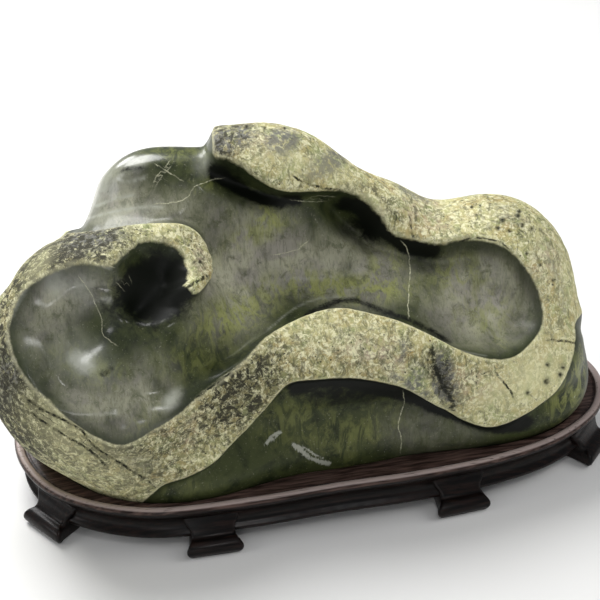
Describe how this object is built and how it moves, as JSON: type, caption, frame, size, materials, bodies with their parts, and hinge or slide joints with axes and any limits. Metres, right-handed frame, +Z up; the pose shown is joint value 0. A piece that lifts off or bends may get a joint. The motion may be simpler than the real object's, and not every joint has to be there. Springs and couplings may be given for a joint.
{
  "type": "scholars rock",
  "caption": "Low polished green stone with a pale raised skin winding round carved hollows, seated in a dark carved hardwood stand on small scroll feet.",
  "frame": {"origin": "on the floor, under the middle of the whole, stand and stone together", "axes": "+Z up; +X along the length, towards the end with the round basin; -Y towards the carved front"},
  "size_m": [0.4349, 0.2176, 0.241],
  "materials": {
    "stone": "polished, with a pale matt natural skin",
    "hardwood": "dark satin lacquer"
  },
  "bodies": {
    "root": {"rock": "stone", "stand": "hardwood"}
  },
  "joints": []
}
